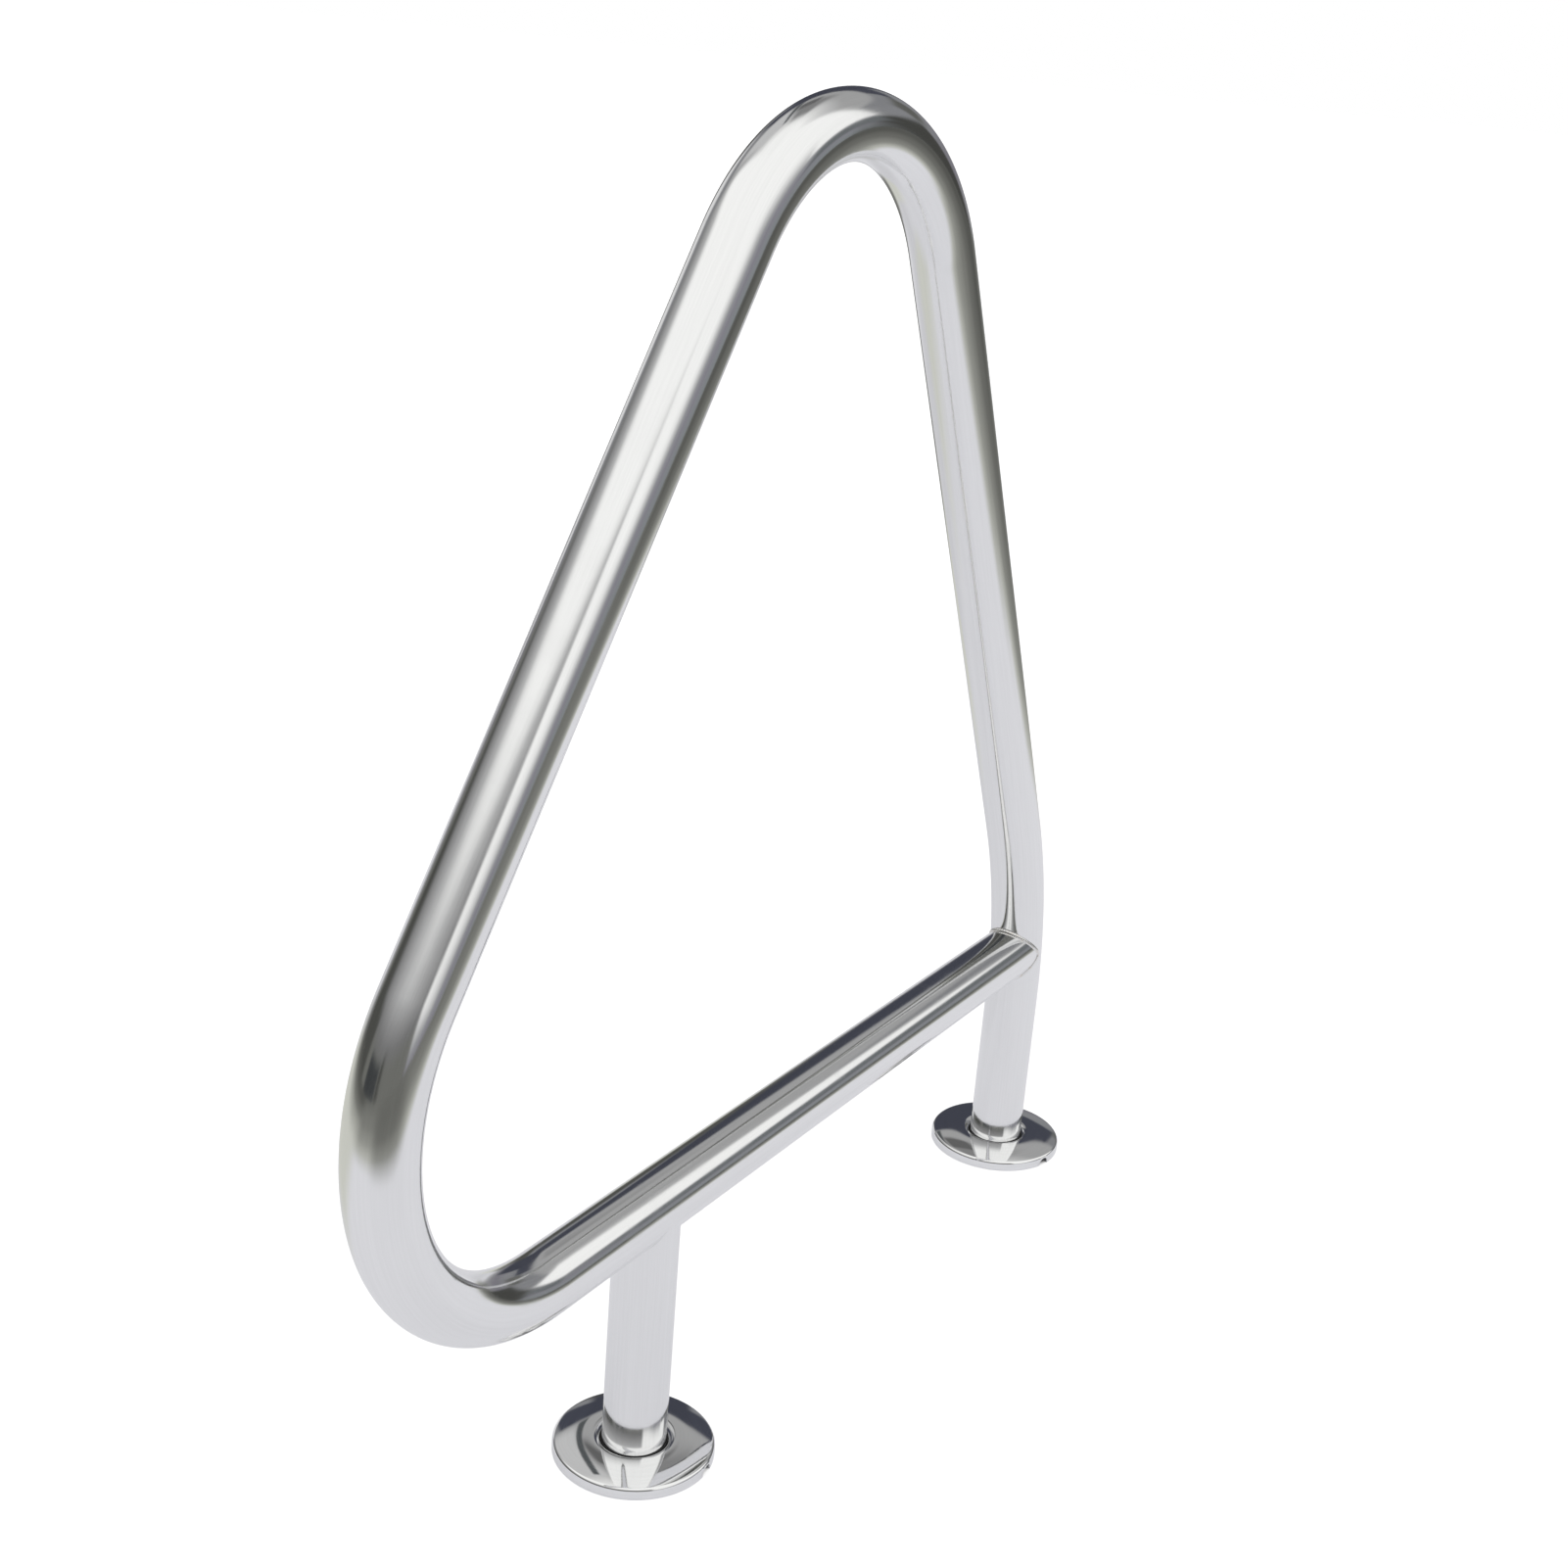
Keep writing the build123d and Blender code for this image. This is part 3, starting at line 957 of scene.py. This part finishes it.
# What else stands around: azimuth, half width, lowest and highest elevation, how
# soft its edges are and how far it leans per degree of height, all in degrees,
# then its display grey and tint.  Later panels cover earlier ones.
PANELS = [
    (30, 12, 40, 62, 5.0, 0.0, 0.50, NEUTRAL),  # recess over the far wall
    (31, 21, 19, 31, 1.2, 0.0, 0.27, NAVY),  # low dark wall behind the object
    (32, 9, 3, 31, 1.2, 0.0, 0.26, NAVY),  # the darker part of it
    (35, 6, 38, 47, 1.5, 0.0, 0.38, NEUTRAL),  # dark window
    (58, 14, 33, 58, 3.0, 0.0, 0.74, NEUTRAL),  # lit wall at the left of the post
    (45, 1.8, 32, 56, 0.7, 0.35, 0.33, TEAL),  # leaning post
    (62, 10, -14, 21, 4.0, 0.0, 0.84, NEUTRAL),  # bright doorway
    (45, 6, -14, 13, 3.0, 0.0, 0.30, OLIVE),  # its dark jamb
    (111, 20, -6, 18, 5.0, 0.0, 0.29, OLIVE),  # dark wall at the left
    (-18, 12, -6, 13.5, 2.5, 0.0, 0.26, OLIVE),  # dark corner at the right
    (2, 8, 12, 23, 2.5, 0.0, 0.36, OLIVE),  # dark doorway between the walls
    (-36, 9, 7, 15, 1.5, 0.0, 0.42, TEAL),  # sill under the bright panel
    (-38, 11, 17, 34, 1.5, 0.0, 0.95, WARM),  # bright panel at the right
    (161, 17, -3, 12, 2.5, 0.0, 0.24, TEAL),  # dark doorway on the camera's side
    (-179, 6, -3, 15, 4.0, 0.0, 0.28, OLIVE),  # its other jamb
]


def facing(tree, direction, azimuth, inner, outer):
    """1 within inner degrees of an azimuth, falling to 0 at outer degrees."""
    flat = stretched(tree, direction, (1, 1, 0))
    unit = add_node(tree, "VectorMath", {"operation": "NORMALIZE"}, i0=flat).outputs[0]
    towards = (cos(radians(azimuth)), sin(radians(azimuth)), 0)
    dot = add_node(tree, "VectorMath", {"operation": "DOT_PRODUCT"}, i0=unit, i1=towards)
    limits = cos(radians(outer)), cos(radians(inner))
    return ramp_between(tree, dot.outputs["Value"], *limits)


def panel_share(tree, azimuth, elevation, panel):
    """1 inside a panel of the studio, 0 outside it."""
    centre, half_width, lowest, highest, soft, lean = panel
    middle = (lowest + highest) / 2
    across = math_node(tree, "SUBTRACT", azimuth, centre - lean * middle)
    shift = math_node(tree, "MULTIPLY", elevation, lean)
    across = math_node(tree, "ABSOLUTE", math_node(tree, "SUBTRACT", across, shift))
    share = ramp_between(tree, across, half_width - soft, half_width + soft, 1.0, 0.0)
    above = ramp_between(tree, elevation, lowest - soft, lowest + soft)
    below = ramp_between(tree, elevation, highest - soft, highest + soft, 1.0, 0.0)
    share = math_node(tree, "MULTIPLY", share, above)
    return math_node(tree, "MULTIPLY", share, below)


def studio_colour(tree):
    """What the studio shows in each direction: bright overhead, dim walls, panels."""
    direction = add_node(tree, "TexCoord").outputs["Generated"]
    parts = add_node(tree, "SeparateXYZ", Vector=direction).outputs
    elevation = math_node(tree, "ARCSINE", parts["Z"])
    elevation = math_node(tree, "MULTIPLY", elevation, 180 / pi)
    azimuth = math_node(tree, "ARCTAN2", parts["Y"], parts["X"])
    azimuth = math_node(tree, "MULTIPLY", azimuth, 180 / pi)
    colour = elevation_ramp(tree, elevation, STUDIO_AROUND)
    behind = elevation_ramp(tree, elevation, BEHIND_OBJECT)
    colour = mix_colour(tree, facing(tree, direction, 28, 46, 60), colour, behind)
    lower_edge = ramp_between(tree, azimuth, -105.0, -72.0, 8.0, 18.0)
    over_edge = math_node(tree, "SUBTRACT", elevation, lower_edge)
    softbox = elevation_ramp(tree, over_edge, SIDE_SOFTBOX)
    colour = mix_colour(tree, facing(tree, direction, -72, 42, 49), colour, softbox)
    for *panel, display, tint in PANELS:
        share = panel_share(tree, azimuth, elevation, panel)
        colour = mix_colour(tree, share, colour, grey(linear(display), tint))
    return colour


def build_world():
    """A soft studio, seen in the steel only: the camera sees plain white."""
    world = bpy.data.worlds.new("studio")
    bpy.context.scene.world = world
    world.use_nodes = True
    tree = world.node_tree
    tree.nodes.clear()
    colour = studio_colour(tree)
    studio = add_node(tree, "Background", Color=colour, Strength=STEEL_LOSS)
    plain = add_node(tree, "Background", Color=grey(1.0), Strength=1.0)
    seen = add_node(tree, "LightPath").outputs["Is Camera Ray"]
    mixed = add_node(tree, "MixShader", i0=seen, i1=studio.outputs[0], i2=plain.outputs[0])
    add_node(tree, "OutputWorld", Surface=mixed.outputs[0])


FLOOR_SIZE = 60.0
HIDDEN_REACH = 0.03  # how near things have to stand to put painted shade on the floor under them
HIDDEN_UNTIL = 0.12  # share of open sky up to which the floor's painted light fades to painted shade
OPEN_FROM = 0.42
FLOOR_GLOW = 0.42  # strength of the floor's painted light, its emission, in the steel
CAMERA_GLOW = 0.62  # and for the camera
SHEET_CENTRE = (0.25, 0.20, 0.0)
SHEET_STRETCH = (0.85, 1.0, 0.0)
# Floor brightness in the steel, painted light, by distance from the sheet's centre, as
# (metres, grey).
FLOOR_AROUND = [(1.12, 0.845), (1.35, 0.69), (1.65, 0.56), (2.4, 0.47), (6.0, 0.43)]
# Painted shadow across the floor towards the camera, by distance (metres, grey).
PAINTED_SHADOW_TO_CAMERA = [(1.05, 0.84), (1.35, 0.53), (1.8, 0.41), (3.0, 0.39), (6.0, 0.40)]
FLOOR_RIGHT = [(1.32, 0.85), (1.52, 0.71), (1.9, 0.52), (3.0, 0.41), (7.0, 0.33)]
FLOOR_BEHIND = [(0.35, 0.83), (0.8, 0.785), (1.5, 0.79), (2.5, 0.85), (6.0, 0.62)]
# Painted shade on the floor at the left, by distance (metres, grey).
PAINTED_SHADE_LEFT = [
    (0.25, 0.83), (0.6, 0.78), (1.3, 0.77), (1.8, 0.66), (3.0, 0.44), (6.0, 0.32),
]
FLOOR_JAMB = [(0.35, 0.83), (0.8, 0.785), (1.4, 0.77), (1.9, 0.45), (6.0, 0.36)]


def distance_ramp(tree, distance, stops, surround=LAVENDER):
    """Floor colour by distance; each stop is (metres, display grey).

    The sheet, which is the first stop, is a faint lavender.
    """
    reach = stops[-1][0]
    position = math_node(tree, "DIVIDE", distance, reach)
    made = add_node(tree, "ValToRGB", {}, Fac=position)
    ramp = made.color_ramp
    while len(ramp.elements) < len(stops):
        ramp.elements.new(0.5)
    for i, (element, (metres, display)) in enumerate(zip(ramp.elements, stops)):
        element.position = metres / reach
        element.color = grey(linear(display), surround if i else LAVENDER)
    return made.outputs["Color"]


def sheet_colour(tree):
    """Painted light on the floor: the pale sheet that the object stands on, and its
    dimmer surround, with painted shadow towards the camera and painted shade at the left.
    """
    place = add_node(tree, "TexCoord").outputs["Object"]
    away = add_node(tree, "VectorMath", {"operation": "SUBTRACT"}, i0=place, i1=SHEET_CENTRE)
    away = stretched(tree, away.outputs[0], SHEET_STRETCH)
    distance = add_node(tree, "VectorMath", {"operation": "LENGTH"}, i0=away).outputs["Value"]
    sheet = distance_ramp(tree, distance, FLOOR_AROUND, OLIVE)
    to_camera = distance_ramp(tree, distance, PAINTED_SHADOW_TO_CAMERA, OLIVE)
    right = distance_ramp(tree, distance, FLOOR_RIGHT, OLIVE)
    behind = distance_ramp(tree, distance, FLOOR_BEHIND)
    jamb = distance_ramp(tree, distance, FLOOR_JAMB, OLIVE)
    left = distance_ramp(tree, distance, PAINTED_SHADE_LEFT, OLIVE)
    # Painted shadow on the side towards the camera.
    sheet = mix_colour(tree, facing(tree, away, -135, 12, 34), sheet, to_camera)
    sheet = mix_colour(tree, facing(tree, away, -35, 14, 34), sheet, right)
    sheet = mix_colour(tree, facing(tree, away, 62, 40, 60), sheet, behind)
    sheet = mix_colour(tree, facing(tree, away, 45, 4, 10), sheet, jamb)
    # Painted shade on the floor at the left.
    return mix_colour(tree, facing(tree, away, 123, 20, 46), sheet, left)


def floor_with_painted_light(tree, open_sky, lit_colour, glow_colour, strength):
    """A floor that is part lit and part painted light (emission), with painted shade where it
    is hidden.
    """
    diffuse = add_node(tree, "BsdfDiffuse", Color=lit_colour)
    strength = ramp_between(tree, open_sky, HIDDEN_UNTIL, OPEN_FROM, 0.0, strength)
    glow = add_node(tree, "Emission", Color=glow_colour, Strength=strength)
    return add_node(tree, "AddShader", i0=diffuse.outputs[0], i1=glow.outputs[0]).outputs[0]


def floor_material():
    """A plain pale floor.

    The steel shows it as a pale sheet of painted light whose surround is dimmer; the camera
    sees it pale all over from painted light, with only painted shade where something stands
    on it.
    """
    material = bpy.data.materials.new("pale_floor")
    material.use_nodes = True
    tree = material.node_tree
    tree.nodes.clear()
    # Ambient occlusion cuts the floor's emission: painted shade under and beside what stands
    # on it.
    nearby = add_node(tree, "AmbientOcclusion", {"samples": 8}, Distance=HIDDEN_REACH)
    open_sky = nearby.outputs["AO"]
    sheet = sheet_colour(tree)
    mirrored = floor_with_painted_light(tree, open_sky, sheet, sheet, FLOOR_GLOW)
    seen = floor_with_painted_light(tree, open_sky, grey(0.8), grey(1.0), CAMERA_GLOW)
    camera_ray = add_node(tree, "LightPath").outputs["Is Camera Ray"]
    mixed = add_node(tree, "MixShader", i0=camera_ray, i1=mirrored, i2=seen)
    add_node(tree, "OutputMaterial", Surface=mixed.outputs[0])
    return material


def build_floor():
    mesh = bpy.data.meshes.new("floor")
    half = FLOOR_SIZE / 2
    corners = [(-half, -half, 0), (half, -half, 0), (half, half, 0), (-half, half, 0)]
    mesh.from_pydata(corners, [], [(0, 1, 2, 3)])
    mesh.materials.append(floor_material())
    floor = bpy.data.objects.new("floor", mesh)
    bpy.context.scene.collection.objects.link(floor)


CAMERA_PLACE = Vector((-1.15017, -0.75350, 1.02499))
CAMERA_YAW = 0.52709  # radians, from +X towards +Y
CAMERA_PITCH = -0.34453
CAMERA_ROLL = 0.07917
CAMERA_SENSOR = 36.0
FOCAL_LENGTH = CAMERA_SENSOR * 1.40518


def build_camera():
    forward = Vector((
        cos(CAMERA_PITCH) * cos(CAMERA_YAW),
        cos(CAMERA_PITCH) * sin(CAMERA_YAW),
        sin(CAMERA_PITCH),
    ))
    level = Vector((sin(CAMERA_YAW), -cos(CAMERA_YAW), 0))
    above = level.cross(forward)
    right = level * cos(CAMERA_ROLL) + above * sin(CAMERA_ROLL)
    up = above * cos(CAMERA_ROLL) - level * sin(CAMERA_ROLL)
    data = bpy.data.cameras.new("camera")
    data.sensor_width = CAMERA_SENSOR
    data.lens = FOCAL_LENGTH
    data.clip_start = 0.01
    data.clip_end = 100.0
    camera = bpy.data.objects.new("camera", data)
    bpy.context.scene.collection.objects.link(camera)
    turn = Matrix((right, up, -forward)).transposed().to_4x4()
    camera.matrix_world = Matrix.Translation(CAMERA_PLACE) @ turn
    bpy.context.scene.camera = camera


# ---------------------------------------------------------------------------
# The scene
# ---------------------------------------------------------------------------
tube_steel = polished_steel("polished_tube", ALONG_TUBE, 0.095, 0.25)
cover_steel = polished_steel("polished_cover", ROUND_COVER, 0.03, 0.0)
bright_weld = weld_steel("dressed_weld", 0.16, 0.10)
dull_weld = weld_steel("raw_weld", 0.30, 0.30)
rubber = black_rubber()

build_main_rail(tube_steel)
build_front_leg(tube_steel)
build_dressed_fillet(tube_steel)
build_lower_rail_bead(bright_weld)
for place, leg_x in (("front", 0.0), ("rear", LEG_SPACING)):
    build_flange_weld(place, leg_x, dull_weld)
    build_cover(place, leg_x, cover_steel)
    build_grommet(place, leg_x, rubber)
    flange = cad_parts[f"{place}_base_flange"]
    flange.data.materials.clear()
    flange.data.materials.append(turned_plate(f"{place}_flange_plate", leg_x))

build_world()
build_floor()
build_camera()

scene = bpy.context.scene
scene.view_settings.view_transform = "Standard"
scene.view_settings.look = "None"
